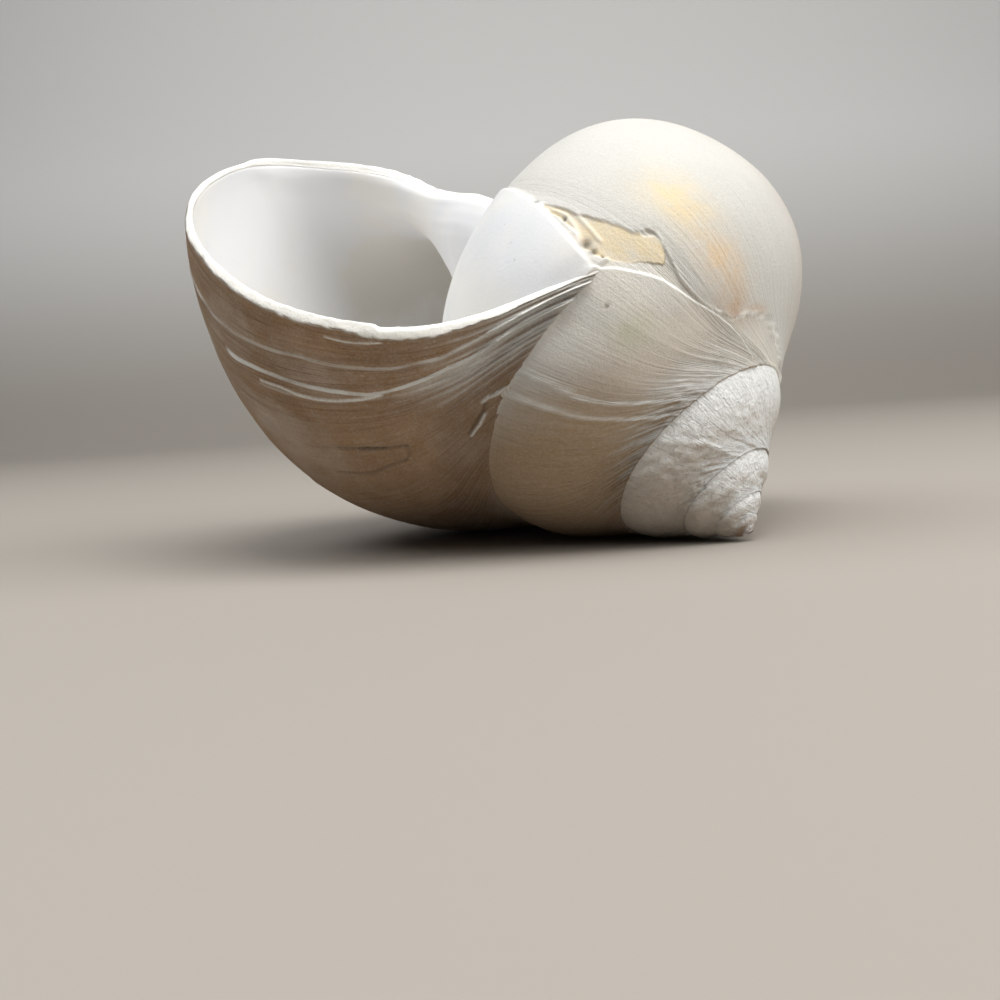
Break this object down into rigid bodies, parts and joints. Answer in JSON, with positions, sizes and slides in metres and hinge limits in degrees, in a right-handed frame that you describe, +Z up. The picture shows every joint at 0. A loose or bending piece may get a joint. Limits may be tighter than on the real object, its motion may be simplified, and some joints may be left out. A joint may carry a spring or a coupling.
{
  "type": "moon snail shell",
  "caption": "Weathered, chalky white moon snail shell lying on its side, a right-handed coil with a low spire, a round navel and a wide open mouth.",
  "frame": {"origin": "centre of the shell's box at the surface that it lies on", "axes": "+Z up from the surface it lies on, +X along its longest extent, from the mouth to the spire, and -Y towards the side seen in the picture"},
  "size_m": [0.1136, 0.0946, 0.0776],
  "materials": {
    "shell": "matte, chalky"
  },
  "bodies": {
    "root": {"shell": "shell"}
  },
  "joints": []
}
